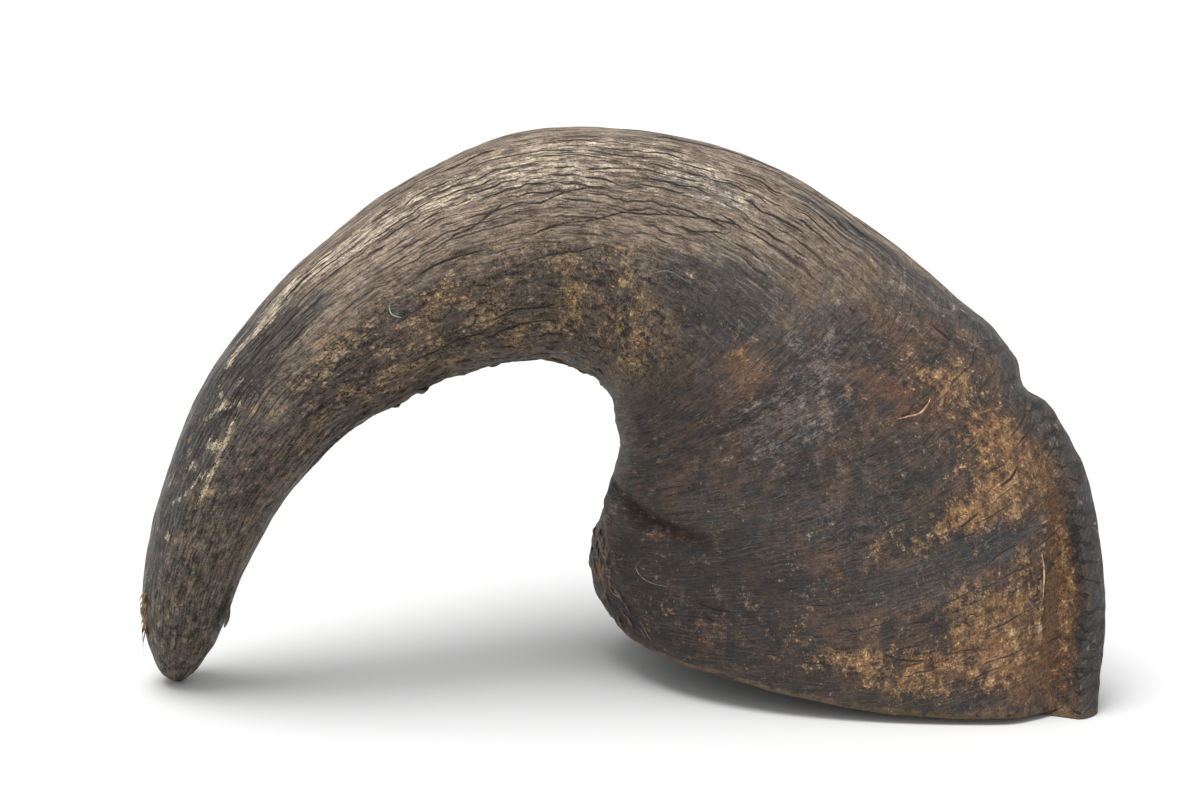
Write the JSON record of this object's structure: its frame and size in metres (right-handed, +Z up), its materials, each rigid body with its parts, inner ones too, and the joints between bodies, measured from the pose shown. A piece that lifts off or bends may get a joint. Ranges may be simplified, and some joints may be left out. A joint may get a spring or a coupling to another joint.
{
  "type": "bison horn",
  "caption": "Curved hollow horn sheath with a broad flattened base and a blunt tip, weathered and cracked, standing on its open rim and its tip.",
  "frame": {"origin": "middle of the bounding box on the plane that the horn stands on", "axes": "+Z up; the tip points to -X and down, the broad open base is at +X, and the bulging front face of the base looks to -Y"},
  "size_m": [0.4656, 0.1682, 0.2648],
  "materials": {
    "horn": "weathered horn (keratin): matt to satin, grey-brown with ochre stains, dark along the outer edge, cracked lengthwise on the shaft and fibrous round the base"
  },
  "bodies": {
    "root": {"horn_sheath": "horn"}
  },
  "joints": []
}
